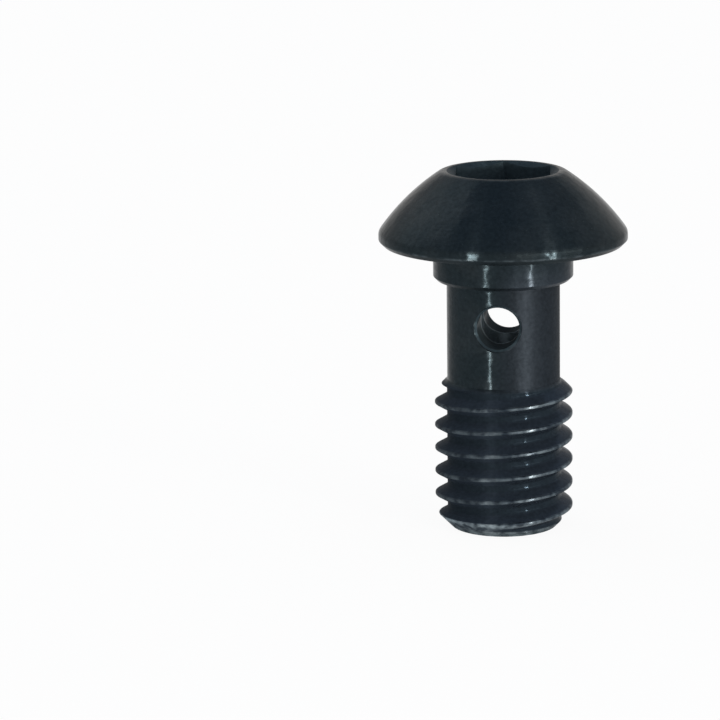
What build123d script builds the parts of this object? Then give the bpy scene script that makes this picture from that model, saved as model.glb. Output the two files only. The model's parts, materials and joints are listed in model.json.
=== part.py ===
from build123d import *
import math
import os

# M6 button-head banjo bolt for a hydraulic brake hose: one turned, threaded and cross-drilled piece.
#
# The bolt's axis is Z with the head upwards. The origin lies on that axis in the seat plane, the
# flat under the head that bears on the sealing washer. The front is -Y. Sizes are millimetres.

# Head: a low dome, cut off by a flat land round the hex socket
HEAD_DIAMETER = 10.54
HEAD_HEIGHT = 3.1
LAND_DIAMETER = 5.24
DOME_RADIUS = 9.6
RIM_HEIGHT = 0.52  # seat plane to the corner of rim and dome, before that corner is rounded
RIM_ROUNDING = 0.4
SEAT_EDGE_CHAMFER = 0.2

# Hex socket: drilled, broached, and countersunk at its mouth
HEX_ACROSS_FLATS = 4.0
HEX_DEPTH = 2.1
HEX_TURN = -3.0  # degrees round the axis, from a corner at the front
SOCKET_DRILL_POINT_ANGLE = 120.0
SOCKET_MOUTH_ANGLE = 120.0

# Thread: M6 x 1, right-handed
THREAD_DIAMETER = 5.87
THREAD_PITCH = 1.0
THREAD_CREST_WIDTH = 0.1
THREAD_ROOT_WIDTH = 0.3
THREAD_FLANK_ANGLE = 30.0  # each flank, from square to the axis
THREAD_LENGTH = 6.43
THREAD_START = 210.2  # degrees round the axis, where the groove crosses the end face
END_CHAMFER = 0.7

# Shank above the thread: a collar that centres the washer, and below it a neck just thinner than
# the thread's root, with room for the fluid to flow round it
COLLAR_OVER_THREAD = 0.07  # on the diameter
COLLAR_LENGTH = 1.54
COLLAR_CHAMFER = 0.16
NECK_UNDER_ROOT = 0.03  # on the diameter
NECK_LENGTH = 4.31
NECK_FILLET = 0.15

# Fluid passages: a blind bore up the axis, and one hole right through the neck that meets it
BORE_DIAMETER = 2.0
BORE_PAST_PORT = 0.15  # how far the bore's wall runs past the top of the cross hole
BORE_DRILL_POINT_ANGLE = 118.0
BORE_MOUTH_CHAMFER = 0.2
PORT_DIAMETER = 1.8
PORT_BELOW_SEAT = 3.25
PORT_CHAMFER = 0.12
PORT_TURN = -8.2  # degrees round the axis, from the front

# Sizes that follow from those above
head_r = HEAD_DIAMETER / 2
land_r = LAND_DIAMETER / 2
thread_r = THREAD_DIAMETER / 2
collar_r = thread_r + COLLAR_OVER_THREAD / 2
bore_r = BORE_DIAMETER / 2
port_r = PORT_DIAMETER / 2
flank_slope = math.tan(math.radians(THREAD_FLANK_ANGLE))
flank_width = (THREAD_PITCH - THREAD_CREST_WIDTH - THREAD_ROOT_WIDTH) / 2
root_r = thread_r - flank_width / flank_slope
neck_r = root_r - NECK_UNDER_ROOT / 2
hex_corner_r = HEX_ACROSS_FLATS / math.sqrt(3)
thread_top = -(COLLAR_LENGTH + NECK_LENGTH)
end = thread_top - THREAD_LENGTH


def cone_height(base_radius, included_angle):
    return base_radius / math.tan(math.radians(included_angle / 2))


# The groove that the threading tool cuts, as a solid. It begins a pitch below the end face and
# leaves the thread above, in the free space round the neck. Its sides run a little way past the
# crests, so that it opens fully on the outside of the bar.
groove_start = end - THREAD_PITCH
groove_rise = THREAD_LENGTH + 2 * THREAD_PITCH
side_overrun = THREAD_CREST_WIDTH / 4
outer_r = thread_r + side_overrun / flank_slope
outer_half_width = THREAD_ROOT_WIDTH / 2 + flank_width + side_overrun

with BuildPart() as thread_groove:
    with BuildLine() as tool_path:
        Helix(THREAD_PITCH, groove_rise, thread_r, center=(0, 0, groove_start))
    with BuildSketch(Plane.XZ) as tool_shape:
        with BuildLine():
            Polyline(
                (root_r, groove_start - THREAD_ROOT_WIDTH / 2),
                (outer_r, groove_start - outer_half_width),
                (outer_r, groove_start + outer_half_width),
                (root_r, groove_start + THREAD_ROOT_WIDTH / 2),
                close=True,
            )
        make_face()
    sweep(sections=tool_shape.sketch, path=tool_path.line, is_frenet=True)

with BuildPart() as banjo_bolt:
    # Threaded end: a bar that is threaded all along, then turned to its chamfers
    with Locations((0, 0, end - 2 * THREAD_PITCH)):
        Cylinder(
            thread_r,
            THREAD_LENGTH + 5 * THREAD_PITCH,
            align=(Align.CENTER, Align.CENTER, Align.MIN),
        )
    add(thread_groove.part, rotation=(0, 0, THREAD_START), mode=Mode.SUBTRACT)
    with BuildSketch(Plane.XZ):
        with BuildLine():
            Polyline(
                (0, end),
                (thread_r - END_CHAMFER, end),
                (thread_r, end + END_CHAMFER),
                (thread_r, thread_top - (thread_r - neck_r)),
                (neck_r, thread_top),
                (0, thread_top),
                close=True,
            )
        make_face()
    revolve(axis=Axis.Z, mode=Mode.INTERSECT)

    # Neck, collar, seat, rim, dome and land
    with BuildSketch(Plane.XZ) as upper_outline:
        with BuildLine():
            turned = Polyline(
                (land_r, HEAD_HEIGHT),
                (0, HEAD_HEIGHT),
                (0, thread_top),
                (neck_r, thread_top),
                (neck_r, -COLLAR_LENGTH),
                (collar_r - COLLAR_CHAMFER, -COLLAR_LENGTH),
                (collar_r, -COLLAR_LENGTH + COLLAR_CHAMFER),
                (collar_r, 0),
                (head_r - SEAT_EDGE_CHAMFER, 0),
                (head_r, SEAT_EDGE_CHAMFER),
                (head_r, RIM_HEIGHT),
            )
            RadiusArc(turned @ 1, turned @ 0, -DOME_RADIUS)
        make_face()
        rim_corner = upper_outline.vertices().group_by(Axis.X)[-1].sort_by(Axis.Y)[-1]
        fillet(rim_corner, RIM_ROUNDING)
        neck_corner = upper_outline.vertices().sort_by_distance((neck_r, -COLLAR_LENGTH))[0]
        fillet(neck_corner, NECK_FILLET)
    revolve(axis=Axis.Z)

    # Hex socket
    with BuildSketch(Plane.XY.offset(HEAD_HEIGHT)):
        RegularPolygon(hex_corner_r, 6, rotation=HEX_TURN - 90)
    extrude(amount=-HEX_DEPTH, mode=Mode.SUBTRACT)
    drill_point = cone_height(HEX_ACROSS_FLATS / 2, SOCKET_DRILL_POINT_ANGLE)
    mouth_depth = cone_height(hex_corner_r - HEX_ACROSS_FLATS / 2, SOCKET_MOUTH_ANGLE)
    with BuildSketch(Plane.XZ):
        with BuildLine():
            Polyline(
                (0, HEAD_HEIGHT),
                (hex_corner_r, HEAD_HEIGHT),
                (HEX_ACROSS_FLATS / 2, HEAD_HEIGHT - mouth_depth),
                (HEX_ACROSS_FLATS / 2, HEAD_HEIGHT - HEX_DEPTH),
                (0, HEAD_HEIGHT - HEX_DEPTH - drill_point),
                close=True,
            )
        make_face()
    revolve(axis=Axis.Z, mode=Mode.SUBTRACT)

    # Fluid bore
    bore_top = -PORT_BELOW_SEAT + port_r + BORE_PAST_PORT
    with BuildSketch(Plane.XZ):
        with BuildLine():
            Polyline(
                (0, end),
                (bore_r + BORE_MOUTH_CHAMFER, end),
                (bore_r, end + BORE_MOUTH_CHAMFER),
                (bore_r, bore_top),
                (0, bore_top + cone_height(bore_r, BORE_DRILL_POINT_ANGLE)),
                close=True,
            )
        make_face()
    revolve(axis=Axis.Z, mode=Mode.SUBTRACT)

    # Cross hole, drilled right through the neck and deburred on both sides
    port_direction = Vector(0, -1, 0).rotate(Axis.Z, PORT_TURN)
    with Locations(Plane(origin=(0, 0, -PORT_BELOW_SEAT), z_dir=port_direction)):
        Cylinder(port_r, 3 * neck_r, mode=Mode.SUBTRACT)
    port_rims = banjo_bolt.edges(Select.NEW).sort_by(SortBy.LENGTH)[-2:]
    chamfer(port_rims, PORT_CHAMFER)

banjo_bolt.part.label = "banjo_bolt"
os.makedirs("parts", exist_ok=True)
export_step(banjo_bolt.part, "parts/banjo_bolt.step")
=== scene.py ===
import json
import logging
import math
from collections.abc import Callable
from dataclasses import dataclass, field
from enum import Enum
from functools import partial

import bpy
from mathutils import Matrix, Vector


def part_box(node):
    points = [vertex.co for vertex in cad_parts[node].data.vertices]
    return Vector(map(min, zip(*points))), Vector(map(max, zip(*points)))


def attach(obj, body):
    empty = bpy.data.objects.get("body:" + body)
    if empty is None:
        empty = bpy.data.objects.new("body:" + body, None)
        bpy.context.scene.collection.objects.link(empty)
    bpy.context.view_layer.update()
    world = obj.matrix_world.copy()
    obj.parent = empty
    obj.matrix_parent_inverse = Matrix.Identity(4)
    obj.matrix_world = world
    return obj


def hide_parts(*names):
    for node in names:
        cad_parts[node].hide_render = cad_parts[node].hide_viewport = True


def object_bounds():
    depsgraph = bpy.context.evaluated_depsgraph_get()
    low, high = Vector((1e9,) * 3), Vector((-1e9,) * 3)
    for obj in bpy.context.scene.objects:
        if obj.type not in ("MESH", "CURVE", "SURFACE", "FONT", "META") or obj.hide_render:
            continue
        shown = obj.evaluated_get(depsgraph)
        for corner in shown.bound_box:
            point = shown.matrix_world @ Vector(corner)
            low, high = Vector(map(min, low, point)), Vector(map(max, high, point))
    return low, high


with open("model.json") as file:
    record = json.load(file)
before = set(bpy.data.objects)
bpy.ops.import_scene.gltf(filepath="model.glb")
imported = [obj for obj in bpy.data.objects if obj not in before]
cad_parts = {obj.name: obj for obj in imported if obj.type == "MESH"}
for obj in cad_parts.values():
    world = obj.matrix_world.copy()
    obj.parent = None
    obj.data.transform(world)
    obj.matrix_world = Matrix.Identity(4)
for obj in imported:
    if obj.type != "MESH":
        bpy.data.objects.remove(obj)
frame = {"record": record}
CAD_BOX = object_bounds()

log = logging.getLogger("banjo_bolt")

MM = 0.001
NODE = "banjo_bolt"
WELD = 1e-7  # metres; vertices nearer than this are one
ROUND_STEPS = 288  # faces round the bolt's axis
SMOOTH_BELOW = math.radians(28.0)  # edges that turn less than this are shaded smooth


# ------------------------------------------------------------------- the frame's own sizes


def mount(name: str) -> dict:
    """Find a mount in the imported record.

    Args:
        name: The mount's name.

    Returns:
        The mount's entry, with its place in metres and its sizes in millimetres.
    """
    return next(entry for entry in frame["record"]["mounts"] if entry["name"] == name)


# ------------------------------------------------------------------- modelling helpers


class Cut(Enum):
    """What a boolean does with the tool's space."""

    TAKE_AWAY = "DIFFERENCE"
    KEEP_COMMON = "INTERSECT"


def deselect_all() -> None:
    """Leave nothing selected, so that an operator acts on the new piece alone."""
    bpy.ops.object.select_all(action="DESELECT")


def make_active(piece: bpy.types.Object) -> None:
    """Select one piece alone and make it the active one."""
    deselect_all()
    piece.select_set(True)
    bpy.context.view_layer.objects.active = piece


def apply_place(piece: bpy.types.Object) -> None:
    """Move a piece's place and turn into its mesh, so that its object sits at the origin."""
    make_active(piece)
    bpy.ops.object.transform_apply(location=True, rotation=True, scale=True)


def apply_modifier(piece: bpy.types.Object, kind: str, **settings: object) -> None:
    """Give a piece a modifier and apply it.

    Args:
        piece: The piece that is changed.
        kind: Blender's name for the kind of modifier.
        settings: The modifier's properties and their values.
    """
    make_active(piece)
    modifier = piece.modifiers.new(kind.lower(), kind)
    for name, value in settings.items():
        setattr(modifier, name, value)
    bpy.ops.object.modifier_apply(modifier=modifier.name)


def combine(piece: bpy.types.Object, tool: bpy.types.Object, cut: Cut) -> None:
    """Cut a piece with a tool, and delete the tool.

    Args:
        piece: The piece that stays.
        tool: The closed solid that cuts it.
        cut: Whether the tool's space is taken away or kept.
    """
    apply_modifier(piece, "BOOLEAN", object=tool, operation=cut.value, solver="EXACT")
    bpy.data.objects.remove(tool, do_unlink=True)


def select_edges(piece: bpy.types.Object, wanted: Callable[[Vector, Vector], bool]) -> None:
    """Enter edit mode with only the wanted edges selected.

    Args:
        piece: The piece whose edges are looked at.
        wanted: Takes an edge's two ends and says whether it is selected.
    """
    make_active(piece)
    mesh = piece.data
    mesh.polygons.foreach_set("select", [False] * len(mesh.polygons))
    mesh.vertices.foreach_set("select", [False] * len(mesh.vertices))
    for edge in mesh.edges:
        start, end = (mesh.vertices[index] for index in edge.vertices)
        edge.select = wanted(start.co, end.co)
        if edge.select:
            start.select = end.select = True
    bpy.context.tool_settings.mesh_select_mode = (False, True, False)
    bpy.ops.object.mode_set(mode="EDIT")


@dataclass(frozen=True)
class Corner:
    """A corner of an outline: its radius, its height and its rounding, in millimetres."""

    r: float
    z: float
    rounding: float = 0.0

    @property
    def place(self) -> Vector:
        """The corner's place in the outline's plane."""
        return Vector((self.r, self.z))


def rounded(corners: list[Corner], closed: bool = False, step: float = 10.0) -> list[Vector]:
    """Turn corners into points, with an arc at each rounded corner.

    Args:
        corners: The outline's corners in order.
        closed: Whether the outline returns from its last corner to its first.
        step: The largest turn between two neighbouring points of an arc, in degrees.

    Returns:
        The outline's points in order.
    """
    points: list[Vector] = []
    for index, corner in enumerate(corners):
        if not corner.rounding or (not closed and index in (0, len(corners) - 1)):
            points.append(corner.place)
            continue
        back = (corners[index - 1].place - corner.place).normalized()
        ahead = (corners[(index + 1) % len(corners)].place - corner.place).normalized()
        half_angle = back.angle(ahead) / 2
        centre = corner.place + (back + ahead).normalized() * corner.rounding / math.sin(half_angle)
        start = corner.place + back * corner.rounding / math.tan(half_angle) - centre
        turn = math.copysign(math.pi - 2 * half_angle, back.cross(ahead) * -1)
        count = max(2, math.ceil(abs(math.degrees(turn)) / step))
        first = math.atan2(start.y, start.x)
        for number in range(count + 1):
            angle = first + turn * number / count
            points.append(centre + corner.rounding * Vector((math.cos(angle), math.sin(angle))))
    return points


def draw_outline(name: str, points: list[Vector], closed: bool = False) -> bpy.types.Object:
    """Draw an outline in the XZ plane by extruding a vertex from point to point.

    Args:
        name: The new piece's name.
        points: The outline's points, as radius and height in millimetres.
        closed: Whether an edge joins the last point to the first.

    Returns:
        The outline as a piece of loose edges, left in edit mode with all of it selected.
    """
    deselect_all()
    bpy.ops.mesh.primitive_plane_add(size=MM)
    piece = bpy.context.object
    piece.name = name
    bpy.context.tool_settings.mesh_select_mode = (True, False, False)
    bpy.ops.object.mode_set(mode="EDIT")
    bpy.ops.mesh.merge(type="CENTER")
    bpy.ops.transform.translate(value=(points[0].x * MM, 0.0, points[0].y * MM))
    for before, after in zip(points, points[1:]):
        step = (after - before) * MM
        bpy.ops.mesh.extrude_region_move(TRANSFORM_OT_translate={"value": (step.x, 0.0, step.y)})
    bpy.ops.mesh.select_all(action="SELECT")
    if closed:
        bpy.ops.mesh.edge_face_add()
        bpy.ops.mesh.delete(type="ONLY_FACE")
        bpy.ops.mesh.select_all(action="SELECT")
    return piece


# ------------------------------------------------------------------- the bolt


@dataclass
class TurnedBlank:
    """The bolt as it leaves the lathe, before threading: head, collar, neck, land and bores.

    Sizes are millimetres, and heights count from the seat plane under the head.
    """

    head_height: float
    end: float
    collar_radius: float
    thread_radius: float
    thread_length: float
    bore_radius: float
    head_radius: float = 5.27
    land_radius: float = 2.62
    land_rounding: float = 0.5  # one of 1.2 makes the outline cross itself
    dome_radius: float = 9.6
    dome_steps: int = 14
    rim_height: float = 0.52
    rim_rounding: float = 0.4
    seat_edge_chamfer: float = 0.2
    collar_length: float = 1.54
    collar_chamfer: float = 0.16
    neck_radius: float = 2.4
    neck_fillet: float = 0.15
    end_chamfer: float = 0.7
    bore_top: float = -2.2
    bore_point: float = 59.0  # degrees from the axis to the drill point's side
    bore_mouth_chamfer: float = 0.2
    socket_mouth_radius: float = 4.0 / math.sqrt(3.0)
    socket_drill_radius: float = 1.98
    socket_depth: float = 2.1
    socket_cone: float = 60.0  # degrees from the axis, at the mouth and at the drill point
    edge_break: float = 0.05  # rounding of the plain turned edges

    @property
    def thread_top(self) -> float:
        """Height of the thread's upper end."""
        return self.end + self.thread_length

    def dome(self) -> list[Corner]:
        """Points of the dome's arc.

        Returns:
            The arc's points from the land towards the rim, without its two ends.
        """
        top = Vector((self.land_radius, self.head_height))
        bottom = Vector((self.head_radius, self.rim_height))
        chord = bottom - top
        drop = math.sqrt(self.dome_radius**2 - (chord.length / 2) ** 2)
        centre = (top + bottom) / 2 + Vector((chord.y, -chord.x)).normalized() * drop
        first = math.atan2(*(top - centre).yx)
        last = math.atan2(*(bottom - centre).yx)
        steps = range(1, self.dome_steps)
        angles = [first + (last - first) * step / self.dome_steps for step in steps]
        radius = self.dome_radius
        return [
            Corner(centre.x + radius * math.cos(angle), centre.y + radius * math.sin(angle))
            for angle in angles
        ]

    def outline(self) -> list[Corner]:
        """The whole outline.

        Returns:
            The corners from the socket's drill point, round the outside, to the bore's tip.
        """
        cone = math.tan(math.radians(self.socket_cone))
        edge = self.edge_break
        socket_floor = self.head_height - self.socket_depth
        mouth_depth = (self.socket_mouth_radius - self.socket_drill_radius) / cone
        runout = self.thread_radius - self.neck_radius
        bore_tip = self.bore_top + self.bore_radius / math.tan(math.radians(self.bore_point))
        return [
            Corner(0.0, socket_floor - self.socket_drill_radius / cone),
            Corner(self.socket_drill_radius, socket_floor),
            Corner(self.socket_drill_radius, self.head_height - mouth_depth, edge),
            Corner(self.socket_mouth_radius, self.head_height, edge),
            Corner(self.land_radius, self.head_height, self.land_rounding),
            *self.dome(),
            Corner(self.head_radius, self.rim_height, self.rim_rounding),
            Corner(self.head_radius, self.seat_edge_chamfer, edge),
            Corner(self.head_radius - self.seat_edge_chamfer, 0.0, edge),
            Corner(self.collar_radius, 0.0, edge),
            Corner(self.collar_radius, -self.collar_length + self.collar_chamfer, edge),
            Corner(self.collar_radius - self.collar_chamfer, -self.collar_length, edge),
            Corner(self.neck_radius, -self.collar_length, self.neck_fillet),
            Corner(self.neck_radius, self.thread_top, edge),
            Corner(self.thread_radius, self.thread_top - runout, edge),
            Corner(self.thread_radius, self.end + self.end_chamfer, edge),
            Corner(self.thread_radius - self.end_chamfer, self.end, edge),
            Corner(self.bore_radius + self.bore_mouth_chamfer, self.end, edge),
            Corner(self.bore_radius, self.end + self.bore_mouth_chamfer, edge),
            Corner(self.bore_radius, self.bore_top),
            Corner(0.0, bore_tip),
        ]

    def build(self, name: str) -> bpy.types.Object:
        """Spin the outline into a closed solid.

        Args:
            name: The new piece's name.

        Returns:
            The turned blank.
        """
        piece = draw_outline(name, rounded(self.outline()))
        bpy.ops.mesh.spin(steps=ROUND_STEPS, angle=math.tau, center=(0, 0, 0), axis=(0, 0, 1))
        bpy.ops.mesh.select_all(action="SELECT")
        bpy.ops.mesh.remove_doubles(threshold=WELD)
        bpy.ops.mesh.normals_make_consistent(inside=False)
        bpy.ops.object.mode_set(mode="OBJECT")
        return piece


@dataclass
class HexSocket:
    """The broached hexagon that the key fits, in millimetres."""

    head_height: float
    depth: float
    across_flats: float = 4.0
    turn: float = -3.0  # degrees round the axis from a corner at the front
    corner_rounding: float = 0.06
    corner_steps: int = 4

    def tool(self) -> bpy.types.Object:
        """Model the broach: a hexagonal prism with slightly rounded corners.

        Returns:
            The solid that cuts the socket.
        """
        length = 2 * self.depth  # half of it stands out above the head
        deselect_all()
        bpy.ops.mesh.primitive_cylinder_add(
            vertices=6,
            radius=self.across_flats / math.sqrt(3.0) * MM,
            depth=length * MM,
            location=(0.0, 0.0, (self.head_height - self.depth + length / 2) * MM),
            rotation=(0.0, 0.0, math.radians(self.turn)),
        )
        piece = bpy.context.object
        apply_place(piece)
        select_edges(piece, lambda start, end: abs(start.z - end.z) > MM)
        bpy.ops.mesh.bevel(
            offset=self.corner_rounding * MM, segments=self.corner_steps, affect="EDGES"
        )
        bpy.ops.object.mode_set(mode="OBJECT")
        return piece


@dataclass
class ThreadGroove:
    """The groove between the turns of a right-handed metric thread, in millimetres."""

    thread_radius: float
    end: float
    length: float
    pitch: float = 1.0
    crest_width: float = 0.1
    root_width: float = 0.3
    flank_angle: float = 30.0  # degrees from square to the axis
    start_angle: float = 210.2  # degrees round the axis where the groove crosses the end face
    root_rounding: float = 0.17
    crest_rounding: float = 0.06
    crest_exit: float = 10.0  # degrees at which the tool's side leaves the crest
    crest_share: float = 0.8  # how much of the crest's width the tool's slanted sides take
    outside: float = 0.12  # how far the tool reaches past the crests
    steps_per_turn: int = 180

    @property
    def root_radius(self) -> float:
        """Radius of the groove's bottom."""
        flank_width = (self.pitch - self.crest_width - self.root_width) / 2
        return self.thread_radius - flank_width / math.tan(math.radians(self.flank_angle))

    def outline(self, height: float) -> list[Corner]:
        """The groove's section.

        Args:
            height: The height of the section's middle.

        Returns:
            The section's corners, from its lower root corner round to its upper one.
        """
        root = self.root_width / 2
        mouth = (self.pitch - self.crest_width) / 2
        exit_width = self.crest_share * self.crest_width / 2
        exit_rise = exit_width * math.tan(math.radians(self.crest_exit))
        half = [
            Corner(self.root_radius, root, self.root_rounding),
            Corner(self.thread_radius, mouth, self.crest_rounding),
            Corner(self.thread_radius + exit_rise, mouth + exit_width),
            Corner(self.thread_radius + self.outside, mouth + exit_width),
        ]
        upper = [Corner(c.r, height + c.z, c.rounding) for c in half]
        lower = [Corner(c.r, height - c.z, c.rounding) for c in half]
        return lower + upper[::-1]

    def tool(self) -> bpy.types.Object:
        """Model the groove as a helical solid that starts below the end and leaves above.

        Returns:
            The solid that cuts the groove.
        """
        rise = self.length + 2 * self.pitch
        turns = rise / self.pitch
        steps = round(turns * self.steps_per_turn)
        outline = rounded(self.outline(self.end - self.pitch), closed=True)
        piece = draw_outline("thread_groove", outline, closed=True)
        bpy.ops.object.mode_set(mode="OBJECT")
        apply_modifier(
            piece,
            "SCREW",
            axis="Z",
            angle=math.tau * turns,
            screw_offset=rise * MM,
            steps=steps,
            render_steps=steps,
        )
        bpy.ops.object.mode_set(mode="EDIT")
        bpy.ops.mesh.select_all(action="SELECT")
        bpy.ops.mesh.fill_holes(sides=0)
        bpy.ops.mesh.select_all(action="SELECT")
        bpy.ops.mesh.normals_make_consistent(inside=False)
        bpy.ops.object.mode_set(mode="OBJECT")
        piece.rotation_euler.z = math.radians(self.start_angle)
        apply_place(piece)
        return piece


@dataclass
class CrossHole:
    """The hole right through the neck, with both its rims chamfered, in millimetres."""

    radius: float
    centre: Vector
    direction: Vector
    neck_radius: float
    chamfer: float = 0.12
    clear: float = 0.05  # how far the chamfer's cutter reaches past the neck
    tool_end: float = 1.5  # where the tool's flat ends lie, in neck radii from the bolt's axis
    wrap_height: float = 6.0  # height of the cylinder that rings are laid on, in hole radii
    wrap_sides: int = 512
    sides: int = 128

    def wrap_to_neck(self, piece: bpy.types.Object, radius: float, group: str = "") -> None:
        """Lay rings of a piece onto a cylinder round the bolt's axis, along the hole.

        Args:
            piece: The piece, whose own Z axis runs along the hole.
            radius: The cylinder's radius.
            group: The vertex group that is laid on, or nothing for the whole piece.
        """
        deselect_all()
        bpy.ops.mesh.primitive_cylinder_add(
            vertices=self.wrap_sides,
            radius=radius * MM,
            depth=self.wrap_height * self.radius * MM,
            location=self.centre * MM,
        )
        cylinder = bpy.context.object
        apply_modifier(
            piece,
            "SHRINKWRAP",
            target=cylinder,
            wrap_method="PROJECT",
            use_project_z=True,
            use_negative_direction=True,
            use_positive_direction=True,
            vertex_group=group,
        )
        bpy.data.objects.remove(cylinder, do_unlink=True)

    def select_ends(self, piece: bpy.types.Object, sides: tuple[int, ...] = (-1, 1)) -> None:
        """Enter edit mode with only end faces of the tool selected.

        Args:
            piece: The tool, whose own Z axis runs along the hole.
            sides: Which ends are selected, as the signs of their heights.
        """
        make_active(piece)
        bpy.context.tool_settings.mesh_select_mode = (False, False, True)
        bpy.ops.object.mode_set(mode="EDIT")
        bpy.ops.mesh.select_all(action="DESELECT")
        bpy.ops.object.mode_set(mode="OBJECT")
        for face in piece.data.polygons:
            is_end = len(face.vertices) == self.sides
            face.select = is_end and math.copysign(1, face.center.z) in sides
        bpy.ops.object.mode_set(mode="EDIT")

    def tool(self) -> bpy.types.Object:
        """Model the hole and its two chamfers as one solid.

        The rims lie on the round neck, so each ring of the tool is laid onto a cylinder: first
        the bottom of the chamfer, then its top, a little outside the neck.

        Returns:
            The solid that cuts the hole.
        """
        spread = (self.radius + self.chamfer + self.clear) / self.radius
        middle = self.centre * MM
        deselect_all()
        bpy.ops.mesh.primitive_cylinder_add(
            vertices=self.sides, radius=self.radius * MM, depth=2 * self.neck_radius * MM
        )
        piece = bpy.context.object
        piece.rotation_euler = self.direction.to_track_quat("Z", "Y").to_euler()
        piece.location = middle
        self.wrap_to_neck(piece, self.neck_radius - self.chamfer)

        self.select_ends(piece)
        bpy.ops.mesh.extrude_region()
        bpy.ops.transform.resize(
            value=(spread, spread, 1.0), orient_type="LOCAL", center_override=middle
        )
        bpy.ops.object.vertex_group_assign_new()
        bpy.ops.object.mode_set(mode="OBJECT")
        self.wrap_to_neck(piece, self.neck_radius + self.clear, piece.vertex_groups[0].name)

        for side in (-1, 1):
            end = middle + self.direction * side * self.tool_end * self.neck_radius * MM
            self.select_ends(piece, (side,))
            bpy.ops.mesh.extrude_region()
            bpy.ops.transform.resize(
                value=(1.0, 1.0, 0.0),
                orient_type="LOCAL",
                center_override=end,
            )
            bpy.ops.object.mode_set(mode="OBJECT")
        apply_place(piece)
        return piece


@dataclass
class BanjoBolt:
    """The whole bolt, sized from the frame and cut in the order of a maker's operations."""

    blank: TurnedBlank = field(init=False)
    socket: HexSocket = field(init=False)
    groove: ThreadGroove = field(init=False)
    cross_hole: CrossHole = field(init=False)

    def __post_init__(self) -> None:
        """Take the sizes that the frame states from its box and its mounts."""
        low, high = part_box(NODE)
        thread = mount("thread")["dims"]
        port = mount("cross_port")
        self.blank = TurnedBlank(
            head_height=high.z / MM,
            end=low.z / MM,
            collar_radius=mount("collar")["dims"]["r_mm"],
            thread_radius=thread["r_mm"],
            thread_length=thread["length_mm"],
            bore_radius=mount("fluid_bore")["dims"]["r_mm"],
        )
        self.socket = HexSocket(self.blank.head_height, self.blank.socket_depth)
        self.groove = ThreadGroove(thread["r_mm"], self.blank.end, thread["length_mm"])
        self.cross_hole = CrossHole(
            radius=port["dims"]["r_mm"],
            centre=Vector(port["pos_m"]) / MM,
            direction=Vector(port["axis"]),
            neck_radius=self.blank.neck_radius,
        )

    def build(self) -> bpy.types.Object:
        """Turn the blank, broach the socket, cut the thread and drill the cross hole.

        Returns:
            The finished bolt, which stands for its CAD node.
        """
        piece = self.blank.build("finished_bolt")
        for tool in (self.cross_hole.tool(), self.socket.tool(), self.groove.tool()):
            combine(piece, tool, Cut.TAKE_AWAY)
        make_active(piece)
        bpy.ops.object.shade_smooth_by_angle(angle=SMOOTH_BELOW)
        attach(piece, "root")
        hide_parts(NODE)
        return piece

    def dress(self, piece: bpy.types.Object) -> None:
        """Give the bolt its finish, in place of any other."""
        piece.data.materials.clear()
        piece.data.materials.append(BlackAnodising(self).material())


# ------------------------------------------------------------------- finishes

AddNode = Callable[..., bpy.types.Node]

# Numbers of the Mix node's inputs and output, which share their names
MIX_SHARE = 0
VALUE_A, VALUE_B = 2, 3
COLOUR_A, COLOUR_B = 6, 7
MIXED_COLOUR = 2


def linear(colour: str) -> tuple[float, float, float, float]:
    """Turn an sRGB hex colour into the linear colour that a shader takes.

    Args:
        colour: The colour, such as "#1c232b".

    Returns:
        Red, green, blue and an alpha of 1.
    """
    parts = [int(colour[start : start + 2], 16) / 255 for start in (1, 3, 5)]
    red, green, blue = (p / 12.92 if p <= 0.04045 else ((p + 0.055) / 1.055) ** 2.4 for p in parts)
    return red, green, blue, 1.0


def add_node(
    tree: bpy.types.NodeTree, kind: str, inputs: dict | None = None, **settings: object
) -> bpy.types.Node:
    """Add a node with its settings, values and links.

    Args:
        tree: The node tree that gets it.
        kind: The node's type, without "ShaderNode".
        inputs: For each input's name or number, a value or the output socket that feeds it.
        settings: The node's own properties.

    Returns:
        The new node.
    """
    node = tree.nodes.new("ShaderNode" + kind)
    for name, value in settings.items():
        setattr(node, name, value)
    for name, value in (inputs or {}).items():
        if isinstance(value, bpy.types.NodeSocket):
            tree.links.new(value, node.inputs[name])
        else:
            node.inputs[name].default_value = value
    return node


def new_material(name: str) -> tuple[bpy.types.Material, bpy.types.NodeTree]:
    """Make a material with an empty node tree.

    Args:
        name: The new material's name.

    Returns:
        The material and its node tree.
    """
    material = bpy.data.materials.new(name)
    material.use_nodes = True
    material.node_tree.nodes.clear()
    return material, material.node_tree


@dataclass(frozen=True)
class EdgeWearAndHighlight:
    """An edge where the film is thinned and a highlight line is painted, as a point in a section, in
    millimetres.
    """

    across: float  # radius from the bolt's axis, or distance from the cross hole's axis
    along: float  # height, or for the cross hole the radius from the bolt's axis
    reach: float
    amount: float


@dataclass(frozen=True)
class Pattern:
    """A noise pattern, and the noise values at which it begins and is full."""

    size: float  # of its spots, in millimetres
    detail: float  # finer layers laid over the spots
    low: float = 0.0
    high: float = 1.0

    def at(self, place: bpy.types.NodeSocket) -> dict:
        """What the noise reads: a place in metres, its spots to the metre, and its detail."""
        return {"Vector": place, "Scale": 1 / (self.size * MM), "Detail": self.detail}


@dataclass(frozen=True)
class Sides:
    """A value that differs between the bolt's left side and its right."""

    left: float
    right: float


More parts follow.
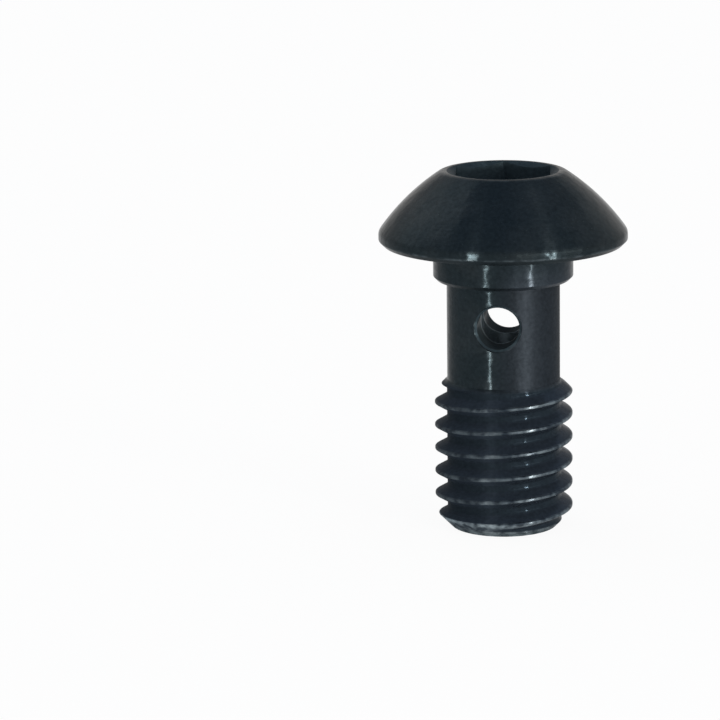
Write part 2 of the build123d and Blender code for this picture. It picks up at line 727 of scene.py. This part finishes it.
@dataclass(frozen=True)
class Whereabouts:
    """The node sockets that say where on the bolt a point lies, with lengths in metres."""

    place: bpy.types.NodeSocket
    radius: bpy.types.NodeSocket
    height: bpy.types.NodeSocket
    lathe: bpy.types.NodeSocket  # radius and height
    drill: bpy.types.NodeSocket  # distance from the cross hole's axis, and radius
    on_thread: bpy.types.NodeSocket  # 0 above the thread's upper end, 1 below it
    off_root: bpy.types.NodeSocket  # 0 at the bottom of the groove, where its painted shade is full, 1 on its flanks
    inside: bpy.types.NodeSocket  # 1 nearer the axis than the neck's wall: socket, holes, end face
    right: bpy.types.NodeSocket  # 0 on the left side of the bolt, 1 on the right; it places painted sheen and glints as well as roughness


@dataclass(frozen=True)
class BlackAnodising:
    """Turned aluminium, anodised and dyed black.

    The dyed film is thin and lies on bright metal, so it looks like dark, slightly blue metal
    with soft highlights. The turning marks run round the bolt and draw each light out into an
    upright streak. Where the film is thinned by rubbing, the metal under it shows as a paler
    grey. The same grey also paints highlights on the thread's crests, the end's chamfer, the
    head's edges and the cross hole's inner edge. The right side below the seat is coloured paler
    as painted sheen, the groove's bottom darker as painted shade, and the bore pale as painted
    light. The thread's flanks and the holes look duller, so they are less metallic. Lengths are
    millimetres.
    """

    bolt: BanjoBolt

    # Colours of the film by place, of the metal that shows through it, and of painted light and shade
    colour: str = "#21292d"
    clouded_colour: str = "#2c3235"
    # painted sheen: the right side of the collar and neck is coloured paler, standing in for light from
    # the right
    right_sheen_colour: str = "#333a41"
    flank_colour: str = "#252d36"
    # painted shade: the groove's bottom is coloured darker than its flanks, standing in for shade there
    shaded_root_colour: str = "#1d252c"
    inside_colour: str = "#2b363c"
    # painted light: the bore, which little light reaches, is coloured pale grey
    lit_bore_colour: str = "#7d8b94"
    # bare metal, whose paler grey also paints highlights on edges, crests and the end's chamfer
    wear_and_highlight_colour: str = "#8d9ca4"

    # How metallic, rough and streaky the film is
    metallic: float = 0.9
    flank_metallic: float = 0.4
    inside_metallic: float = 0.5
    roughness: float = 0.25
    inside_roughness: float = 0.5
    crest_roughness: float = 0.36
    neck_roughness: Sides = Sides(left=0.27, right=0.68)
    thread_roughness: Sides = Sides(left=0.6, right=0.17)
    edge_tint: float = 0.65  # how much light the film mirrors at a glancing angle
    anisotropy: float = 0.95
    streak_turn: float = 0.25  # a quarter turn, which sets the streaks square to the marks

    # Patterns. Turning marks lie a few hundredths of a millimetre apart and the film's grain is
    # finer still. Both are too fine to show, so they are drawn as coarse as they need to be.
    marks: Pattern = Pattern(size=0.3, detail=2.0)
    mark_depth: float = 0.015
    dents: Pattern = Pattern(size=0.45, detail=1.0)
    dent_depth: float = 0.018
    clouds: Pattern = Pattern(size=2.5, detail=3.0, low=0.45, high=0.75)
    grain: Pattern = Pattern(size=0.15, detail=1.0, low=0.3, high=0.7)
    grain_strength: float = 0.14
    # spots that break up the thinned film and the painted highlights alike
    rub_and_glint_spots: Pattern = Pattern(size=0.4, detail=2.0, low=0.38, high=0.66)
    least_rub_and_glint: float = 0.1  # share of the thinned film and painted highlight that is left between the spots

    # How much the crests and the end's chamfer are thinned, and painted paler where light falls on them
    # painted glint: the crests are paler on the right, where light falls; elsewhere it is a thinned
    # film
    crest_wear_and_glint: Sides = Sides(left=0.32, right=0.5)
    # painted sheen: the end's chamfer is paler on the left, where light falls; elsewhere it is a
    # thinned film
    end_wear_and_sheen: Sides = Sides(left=0.86, right=0.58)
    end_foot_wear_and_sheen: float = 0.45  # share of the end's paler colour at the chamfer's lower edge

    # Where one look gives way to the next: the length over which it does, or the two distances
    # between which it does
    thread_fade: float = 0.2  # below the thread's upper end
    neck_fade: float = 0.05  # below the collar
    side_fade: float = 0.5  # on each side of the bolt's middle
    right_sheen_start: float = 0.2  # below the seat; the painted sheen on the right is full at the collar's lower end
    root_shade_fade: tuple[float, float] = (0.01, 0.07)  # out from the groove's bottom, over which its painted shade fades
    inside_fade: tuple[float, float] = (0.01, 0.05)  # in from the neck's wall
    lit_bore_fade: tuple[float, float] = (0.1, 0.02)  # out from the bore's wall, over which the painted light in the bore fades
    crest_fade: float = 0.09  # in from the crests, for their thinned film and painted glint
    crest_top: float = 0.05  # in from the crests, for their roughness
    flank_fade: tuple[float, float] = (0.03, 0.08)  # in from the crests
    cone_fade: tuple[float, float] = (0.09, 0.04)  # off the end's chamfer, along the radius
    cone_top_fade: float = 0.08  # above the end's chamfer
    foot_fade: tuple[float, float] = (0.4, 0.1)  # in from the crests' radius

    def edge_wear_and_highlights(self) -> tuple[EdgeWearAndHighlight, ...]:
        """Edges of the turned outline where the film is thinned and highlight lines are painted, by
        radius and height.
        """
        blank = self.bolt.blank
        return (
            # painted highlight lines, partly a thinned film: the socket's lip, the seat's edge and the
            # end's edge
            EdgeWearAndHighlight(blank.land_radius, blank.head_height, reach=0.08, amount=0.1),
            EdgeWearAndHighlight(blank.head_radius, blank.seat_edge_chamfer, reach=0.08, amount=0.18),
            EdgeWearAndHighlight(blank.thread_radius - blank.end_chamfer, blank.end, reach=0.1, amount=0.8),
        )

    def hole_edge_highlights(self) -> tuple[EdgeWearAndHighlight, ...]:
        """The cross hole's edge at the bore, where a highlight is painted at full strength, by distance
        from the hole's axis and radius.
        """
        blank = self.bolt.blank
        # painted highlight: the hole's inner edge is coloured as bare metal so that it gleams
        return (EdgeWearAndHighlight(self.bolt.cross_hole.radius, blank.bore_radius, reach=0.22, amount=1.0),)

    def locate(self, add: AddNode) -> Whereabouts:
        """Work out where on the bolt a point lies.

        Args:
            add: Adds a node to the finish.

        Returns:
            The sockets that the finish's layers read.
        """
        hole = self.bolt.cross_hole
        top = self.bolt.blank.thread_top
        neck = self.bolt.blank.neck_radius
        root = self.bolt.groove.root_radius
        place = add("TexCoord").outputs["Object"]
        parts = add("SeparateXYZ", {"Vector": place}).outputs
        flat = add("CombineXYZ", {"X": parts["X"], "Y": parts["Y"]}).outputs[0]
        radius = add("VectorMath", {0: flat}, operation="LENGTH").outputs["Value"]
        beside = hole.direction.cross(Vector((0, 0, 1)))
        from_hole = add(
            "VectorMath", {0: place, 1: hole.centre * MM}, operation="SUBTRACT"
        ).outputs[0]
        aside = add(
            "VectorMath", {0: from_hole, 1: beside}, operation="DOT_PRODUCT"
        ).outputs["Value"]
        above = add("SeparateXYZ", {"Vector": from_hole}).outputs["Z"]
        off_axis = add("CombineXYZ", {"X": aside, "Y": above}).outputs[0]
        distance = add("VectorMath", {0: off_axis}, operation="LENGTH").outputs["Value"]
        masks: dict[str, bpy.types.NodeSocket] = {}
        for name, value, start, end in (
            ("on_thread", parts["Z"], top, top - self.thread_fade),
            ("off_root", radius, root + self.root_shade_fade[0], root + self.root_shade_fade[1]),
            ("inside", radius, neck - self.inside_fade[0], neck - self.inside_fade[1]),
            ("right", parts["X"], -self.side_fade, self.side_fade),
        ):
            ramp = {"Value": value, "From Min": start * MM, "From Max": end * MM}
            masks[name] = add("MapRange", ramp).outputs[0]
        return Whereabouts(
            place=place,
            radius=radius,
            height=parts["Z"],
            lathe=add("CombineXYZ", {"X": radius, "Y": parts["Z"]}).outputs[0],
            drill=add("CombineXYZ", {"X": distance, "Y": radius}).outputs[0],
            **masks,
        )

    def crest_wear_and_glints(self, add: AddNode, where: Whereabouts) -> bpy.types.NodeSocket:
        """Work out how far the thread's crests are thinned, with a painted glint that is stronger on
        the right.

        Args:
            add: Adds a node to the finish.
            where: Where on the bolt a point lies.

        Returns:
            The thinned film and painted glint, which is 0 away from the crests.
        """
        crest = self.bolt.blank.thread_radius * MM
        foot = crest - self.crest_fade * MM
        most = self.crest_wear_and_glint
        ramp = {"Value": where.radius, "From Min": foot, "From Max": crest}
        wear_and_highlight = add("MapRange", ramp).outputs[0]
        side = add("MapRange", {"Value": where.right, "To Min": most.left, "To Max": most.right})
        for share in (where.on_thread, side.outputs[0]):
            wear_and_highlight = add("Math", {0: wear_and_highlight, 1: share}, operation="MULTIPLY").outputs[0]
        return wear_and_highlight

    def end_chamfer_wear_and_sheen(self, add: AddNode, where: Whereabouts) -> bpy.types.NodeSocket:
        """Work out how far the chamfer at the end is thinned and painted paler, more so on the left.

        The chamfer is a cone of 45 degrees, so on it the radius less the height stays the same.

        Args:
            add: Adds a node to the finish.
            where: Where on the bolt a point lies.

        Returns:
            The thinned film and painted sheen, which is 0 away from the chamfer.
        """
        blank = self.bolt.blank
        crest = blank.thread_radius
        cone = (crest - blank.end_chamfer - blank.end) * MM
        cone_top = blank.end + blank.end_chamfer
        slant = add("Math", {0: where.radius, 1: where.height}, operation="SUBTRACT").outputs[0]
        off_cone = add("Math", {0: slant, 1: cone}, operation="SUBTRACT").outputs[0]
        off_cone = add("Math", {0: off_cone}, operation="ABSOLUTE").outputs[0]
        most = self.end_wear_and_sheen
        shares: list[bpy.types.NodeSocket] = []
        for value, start, end, least in (
            (off_cone, self.cone_fade[0], self.cone_fade[1], 0.0),
            (where.height, cone_top + self.cone_top_fade, cone_top, 0.0),
            (where.radius, crest - self.foot_fade[0], crest - self.foot_fade[1], self.end_foot_wear_and_sheen),
        ):
            ramp = {"Value": value, "From Min": start * MM, "From Max": end * MM, "To Min": least}
            shares.append(add("MapRange", ramp).outputs[0])
        side = add("MapRange", {"Value": where.right, "To Min": most.left, "To Max": most.right})
        shares.append(side.outputs[0])
        wear_and_highlight = shares[0]
        for share in shares[1:]:
            wear_and_highlight = add("Math", {0: wear_and_highlight, 1: share}, operation="MULTIPLY").outputs[0]
        return wear_and_highlight

    def wear_and_highlight(self, add: AddNode, where: Whereabouts) -> bpy.types.NodeSocket:
        """Work out where the film is thinned to bare metal and where highlights are painted in its
        paler grey.

        Args:
            add: Adds a node to the finish.
            where: Where on the bolt a point lies.

        Returns:
            0 for the whole film to 1 for the paler grey of bare metal, which also paints highlights.
        """
        wear_and_highlight_parts = [self.crest_wear_and_glints(add, where), self.end_chamfer_wear_and_sheen(add, where)]
        for section, edges in ((where.lathe, self.edge_wear_and_highlights()), (where.drill, self.hole_edge_highlights())):
            for edge in edges:
                corner = (edge.across * MM, edge.along * MM, 0.0)
                away = add("VectorMath", {0: section, 1: corner}, operation="DISTANCE").outputs["Value"]
                ramp = {"Value": away, "From Min": edge.reach * MM, "From Max": 0.0}
                wear_and_highlight_parts.append(add("MapRange", ramp | {"To Max": edge.amount}).outputs[0])
        wear_and_highlight = wear_and_highlight_parts[0]
        for other in wear_and_highlight_parts[1:]:
            wear_and_highlight = add("Math", {0: wear_and_highlight, 1: other}, operation="MAXIMUM").outputs[0]
        rub_and_glint_spots = add("TexNoise", self.rub_and_glint_spots.at(where.place)).outputs[0]
        ramp = {"Value": rub_and_glint_spots, "From Min": self.rub_and_glint_spots.low, "From Max": self.rub_and_glint_spots.high}
        rubbed_and_glinting = add("MapRange", ramp | {"To Min": self.least_rub_and_glint}).outputs[0]
        return add("Math", {0: wear_and_highlight, 1: rubbed_and_glinting}, operation="MULTIPLY").outputs[0]

    def dye_and_painted_light(self, add: AddNode, where: Whereabouts) -> bpy.types.NodeSocket:
        """Colour the dyed film, with painted sheen on the right, painted shade at the groove's bottom
        and painted light in the bore.

        Args:
            add: Adds a node to the finish.
            where: Where on the bolt a point lies.

        Returns:
            The film's colour with its painted light and shade, before the paler grey of bare metal and
            painted highlights.
        """
        bore = self.bolt.blank.bore_radius
        clouds = add("TexNoise", self.clouds.at(where.place)).outputs[0]
        ramp = {"Value": clouds, "From Min": self.clouds.low, "From Max": self.clouds.high}
        clouded = add("MapRange", ramp).outputs[0]
        below_seat, near_bore = (
            add("MapRange", {"Value": value, "From Min": start * MM, "From Max": end * MM}).outputs[0]
            for value, start, end in (
                (where.height, -self.right_sheen_start, -self.bolt.blank.collar_length),
                (where.radius, bore + self.lit_bore_fade[0], bore + self.lit_bore_fade[1]),
            )
        )
        # painted sheen: paler on the right side below the seat, where light from the right falls
        painted_right_sheen = add("Math", {0: below_seat, 1: where.right}, operation="MULTIPLY").outputs[0]
        # painted light in the bore, below the seat
        lit_bore = add("Math", {0: near_bore, 1: below_seat}, operation="MULTIPLY").outputs[0]
        # painted shade: darker towards the groove's bottom
        groove = add(
            "Mix",
            {
                MIX_SHARE: where.off_root,
                COLOUR_A: linear(self.shaded_root_colour),
                COLOUR_B: linear(self.flank_colour),
            },
            data_type="RGBA",
        )
        colour: bpy.types.NodeSocket | tuple[float, ...] = linear(self.colour)
        for share, other in (
            (clouded, linear(self.clouded_colour)),
            (painted_right_sheen, linear(self.right_sheen_colour)),
            (where.on_thread, groove.outputs[MIXED_COLOUR]),
            (where.inside, linear(self.inside_colour)),
            (lit_bore, linear(self.lit_bore_colour)),
        ):
            colour = add(
                "Mix", {MIX_SHARE: share, COLOUR_A: colour, COLOUR_B: other}, data_type="RGBA"
            ).outputs[MIXED_COLOUR]
        grain = add("TexNoise", self.grain.at(where.place)).outputs[0]
        ramp = {"Value": grain, "From Min": self.grain.low, "From Max": self.grain.high}
        spread = {"To Min": 1 - self.grain_strength, "To Max": 1 + self.grain_strength}
        speckle = add("MapRange", ramp | spread, clamp=False).outputs[0]
        return add("VectorMath", {0: colour, "Scale": speckle}, operation="SCALE").outputs[0]

    def polish(self, add: AddNode, where: Whereabouts) -> bpy.types.NodeSocket:
        """Work out the roughness, which differs between left and right below the collar.

        Args:
            add: Adds a node to the finish.
            where: Where on the bolt a point lies.

        Returns:
            The roughness.
        """
        crest = self.bolt.blank.thread_radius
        under_collar = -self.bolt.blank.collar_length
        on_neck, on_crest = (
            add("MapRange", {"Value": value, "From Min": start * MM, "From Max": end * MM}).outputs[0]
            for value, start, end in (
                (where.height, under_collar, under_collar - self.neck_fade),
                (where.radius, crest - self.crest_top, crest),
            )
        )
        neck, thread = (
            add("MapRange", {"Value": where.right, "To Min": sides.left, "To Max": sides.right})
            for sides in (self.neck_roughness, self.thread_roughness)
        )
        for share in (where.on_thread, where.right):
            on_crest = add("Math", {0: on_crest, 1: share}, operation="MULTIPLY").outputs[0]
        rough: bpy.types.NodeSocket | float = self.roughness
        for share, other in (
            (on_neck, neck.outputs[0]),
            (where.on_thread, thread.outputs[0]),
            (on_crest, self.crest_roughness),
            (where.inside, self.inside_roughness),
        ):
            rough = add("Mix", {MIX_SHARE: share, VALUE_A: rough, VALUE_B: other}).outputs[0]
        return rough

    def metal(self, add: AddNode, where: Whereabouts) -> bpy.types.NodeSocket:
        """Work out how metallic the film is: less so on the thread's flanks and inside.

        Args:
            add: Adds a node to the finish.
            where: Where on the bolt a point lies.

        Returns:
            The metallic share.
        """
        start, end = ((self.bolt.blank.thread_radius - fade) * MM for fade in self.flank_fade)
        off_crest = add("MapRange", {"Value": where.radius, "From Min": start, "From Max": end})
        in_groove = add("Math", {0: where.on_thread, 1: off_crest.outputs[0]}, operation="MULTIPLY")
        span = {"To Min": self.metallic, "To Max": self.flank_metallic}
        metal = add("MapRange", {"Value": in_groove.outputs[0]} | span).outputs[0]
        mixed = {MIX_SHARE: where.inside, VALUE_A: metal, VALUE_B: self.inside_metallic}
        return add("Mix", mixed).outputs[0]

    def relief(self, add: AddNode, where: Whereabouts) -> bpy.types.NodeSocket:
        """Raise the turning marks, and shallow dents that let the streaks of light waver.

        Args:
            add: Adds a node to the finish.
            where: Where on the bolt a point lies.

        Returns:
            The surface's normal.
        """
        marks = add("TexNoise", self.marks.at(where.lathe), noise_dimensions="2D").outputs[0]
        marked = add("Bump", {"Height": marks, "Distance": self.mark_depth * MM}).outputs[0]
        dents = add("TexNoise", self.dents.at(where.place)).outputs[0]
        dented = {"Height": dents, "Distance": self.dent_depth * MM, "Normal": marked}
        return add("Bump", dented).outputs[0]

    def material(self) -> bpy.types.Material:
        """Make the finish.

        Returns:
            The material.
        """
        material, tree = new_material("black_anodised_aluminium")
        add = partial(add_node, tree)
        where = self.locate(add)
        # the paler grey shows bare metal and paints highlights
        colour = add(
            "Mix",
            {
                MIX_SHARE: self.wear_and_highlight(add, where),
                COLOUR_A: self.dye_and_painted_light(add, where),
                COLOUR_B: linear(self.wear_and_highlight_colour),
            },
            data_type="RGBA",
        )
        shader = add(
            "BsdfPrincipled",
            {
                "Base Color": colour.outputs[MIXED_COLOUR],
                "Metallic": self.metal(add, where),
                "Roughness": self.polish(add, where),
                "Specular IOR Level": 0.0,
                "Specular Tint": (self.edge_tint, self.edge_tint, self.edge_tint, 1.0),
                "Anisotropic": self.anisotropy,
                "Anisotropic Rotation": self.streak_turn,
                "Normal": self.relief(add, where),
                "Tangent": add("Tangent", direction_type="RADIAL", axis="Z").outputs[0],
            },
        )
        add("OutputMaterial", {"Surface": shader.outputs[0]})
        return material


# ------------------------------------------------------------------- studio


@dataclass(frozen=True)
class Lamp:
    """A soft lamp, placed round the bolt and turned to it."""

    name: str
    azimuth: float  # degrees round the bolt, from the front towards the right
    elevation: float  # degrees above the point it is turned to
    distance: float  # metres
    width: float
    height: float
    radiance: float
    colour: str = "#fff4ea"

    def build(self, target: Vector) -> bpy.types.Object:
        """Hang the lamp and turn it to the bolt.

        Args:
            target: The point that it is turned to, in metres.

        Returns:
            The lamp.
        """
        turn = Matrix.Rotation(math.radians(self.azimuth), 3, "Z")
        lift = Matrix.Rotation(math.radians(-self.elevation), 3, "X")
        away = turn @ lift @ Vector((0.0, -1.0, 0.0))
        data = bpy.data.lights.new(self.name, "AREA")
        data.shape = "RECTANGLE"
        data.size = self.width
        data.size_y = self.height
        data.energy = self.radiance * math.pi * self.width * self.height
        data.color = linear(self.colour)[:3]
        lamp = bpy.data.objects.new(self.name, data)
        lamp.location = target + away * self.distance
        lamp.rotation_euler = (-away).to_track_quat("-Z", "Y").to_euler()
        lamp.visible_camera = False
        bpy.context.collection.objects.link(lamp)
        return lamp


@dataclass(frozen=True)
class Studio:
    """A white floor, a pale sky, lamps and the camera. The lamps' target is in metres."""

    lens: float = 195.0
    pitch: float = 12.571  # degrees that the camera looks down
    roll: float = 0.703
    camera_place: tuple[float, float, float] = (-6.108, -161.992, 31.106)  # millimetres
    near: float = 0.01  # metres; the camera sees nothing nearer, and nothing past far
    far: float = 20.0
    lamp_target: tuple[float, float, float] = (0.0, 0.0, -0.005)
    floor_size: float = 3.0  # metres
    floor_colour: str = "#f4f4f2"
    floor_whiteness: float = 0.93  # how much of plain white the camera and metal see in the floor
    horizon_colour: str = "#eceae8"
    zenith_colour: str = "#b0bed1"
    sky_fade: tuple[float, float] = (0.25, 0.9)  # upward parts of a view between which it changes

    def lamps(self) -> tuple[Lamp, ...]:
        """The lamps, with three nested boxes on the right whose light falls off to their sides."""
        return (
            Lamp("strip_left", -30, 2, distance=0.4, width=0.016, height=0.03, radiance=520),
            Lamp("strip_right", 43, 3, distance=0.4, width=0.03, height=0.04, radiance=260),
            Lamp("softbox_right_a", 43, 8, distance=0.45, width=0.20, height=0.11, radiance=3.2),
            Lamp("softbox_right_b", 43, 8, distance=0.45, width=0.36, height=0.11, radiance=3.2),
            Lamp("softbox_right_c", 43, 8, distance=0.45, width=0.52, height=0.11, radiance=3.2),
            Lamp("softbox_left", -125, 45, distance=0.5, width=0.40, height=0.40, radiance=0.85),
            Lamp("softbox_back_right", 138, 24, distance=0.5, width=0.30, height=0.25, radiance=0.3),
        )

    def build(self) -> None:
        """Make all of the studio."""
        self.build_camera()
        self.build_floor()
        self.build_world()
        for lamp in self.lamps():
            lamp.build(Vector(self.lamp_target))

    def build_camera(self) -> None:
        """Place the camera and look through it."""
        data = bpy.data.cameras.new("camera")
        data.lens = self.lens
        data.clip_start = self.near
        data.clip_end = self.far
        camera = bpy.data.objects.new("camera", data)
        tilt = Matrix.Rotation(math.radians(90 - self.pitch), 3, "X")
        camera.rotation_euler = (tilt @ Matrix.Rotation(math.radians(-self.roll), 3, "Z")).to_euler()
        camera.location = Vector(self.camera_place) * MM
        bpy.context.collection.objects.link(camera)
        bpy.context.scene.camera = camera

    def build_floor(self) -> None:
        """Lay a white card under the bolt, which looks nearly plain white and takes a shadow."""
        deselect_all()
        bpy.ops.mesh.primitive_plane_add(size=self.floor_size, location=(0, 0, CAD_BOX[0].z))
        floor = bpy.context.object
        floor.name = "floor"
        material, tree = new_material("white_card")
        add = partial(add_node, tree)
        rays = add("LightPath").outputs
        seen = add(
            "Math", {0: rays["Is Camera Ray"], 1: rays["Is Glossy Ray"]}, operation="MAXIMUM"
        )
        share = add("Math", {0: seen.outputs[0], 1: self.floor_whiteness}, operation="MULTIPLY")
        card = add("BsdfDiffuse", {"Color": linear(self.floor_colour)})
        white = add("Emission", {"Color": (1, 1, 1, 1), "Strength": 1.0})
        mixed = add("MixShader", {0: share.outputs[0], 1: card.outputs[0], 2: white.outputs[0]})
        add("OutputMaterial", {"Surface": mixed.outputs[0]})
        floor.data.materials.append(material)

    def build_world(self) -> None:
        """Make a sky that turns from near white at the horizon to a pale blue overhead."""
        world = bpy.data.worlds.new("studio")
        bpy.context.scene.world = world
        world.use_nodes = True
        tree = world.node_tree
        tree.nodes.clear()
        add = partial(add_node, tree)
        view = add("TexCoord").outputs["Generated"]
        upward = add("SeparateXYZ", {"Vector": view}).outputs["Z"]
        high = add(
            "MapRange",
            {"Value": upward, "From Min": self.sky_fade[0], "From Max": self.sky_fade[1]},
        )
        colour = add(
            "Mix",
            {
                MIX_SHARE: high.outputs[0],
                COLOUR_A: linear(self.horizon_colour),
                COLOUR_B: linear(self.zenith_colour),
            },
            data_type="RGBA",
        )
        sky = add("Background", {"Color": colour.outputs[MIXED_COLOUR], "Strength": 1.0})
        add("OutputWorld", {"Surface": sky.outputs[0]})


def main() -> None:
    """Build the bolt and its studio."""
    logging.basicConfig(level=logging.INFO, format="%(message)s")
    bolt = BanjoBolt()
    piece = bolt.build()
    bolt.dress(piece)
    log.info("%s: %d faces", piece.name, len(piece.data.polygons))
    Studio().build()
    bpy.context.scene.view_settings.view_transform = "Standard"


if __name__ == "__main__":
    main()
